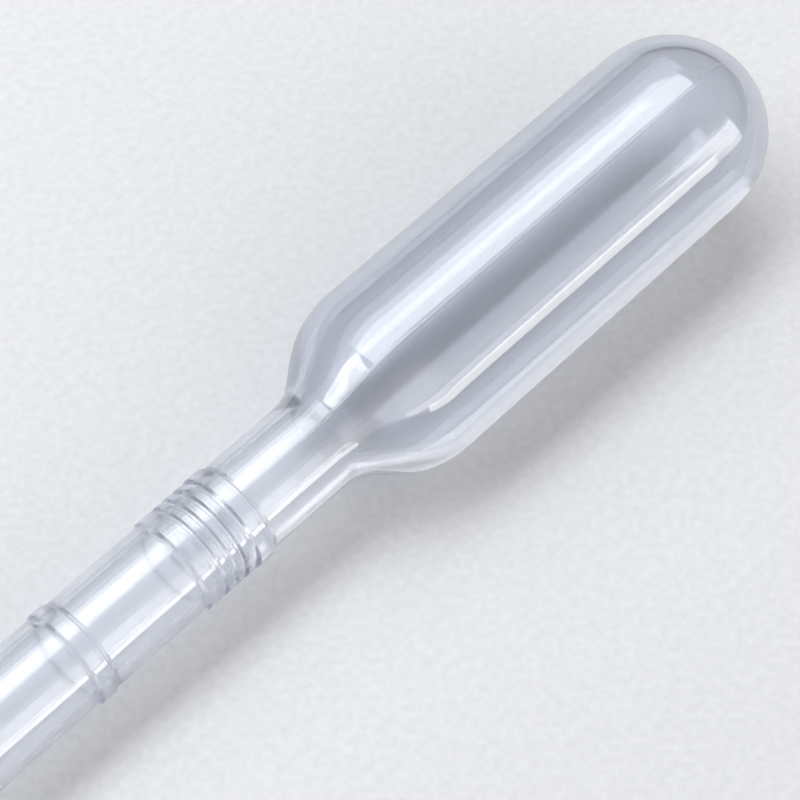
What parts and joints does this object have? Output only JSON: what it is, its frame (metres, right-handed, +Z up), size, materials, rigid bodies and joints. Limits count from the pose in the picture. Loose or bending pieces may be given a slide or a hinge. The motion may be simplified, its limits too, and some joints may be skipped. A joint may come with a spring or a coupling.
{
  "type": "dropper pipette",
  "caption": "One-piece soft plastic dropper with a squeeze bulb, a ribbed collar, raised volume rings on its stem and a drawn-out fine tip.",
  "frame": {"origin": "on the floor under the middle of the part's box, lying on its side", "axes": "+X along the pipette towards the bulb, +Z up; the pipette's own axis climbs towards the bulb by its resting tilt"},
  "size_m": [0.155, 0.0154, 0.0168],
  "materials": {
    "clear_polyethylene": "thin, slightly milky low-density polyethylene with a glossy blown surface"
  },
  "bodies": {
    "root": {"pipette": "clear_polyethylene"}
  },
  "joints": []
}
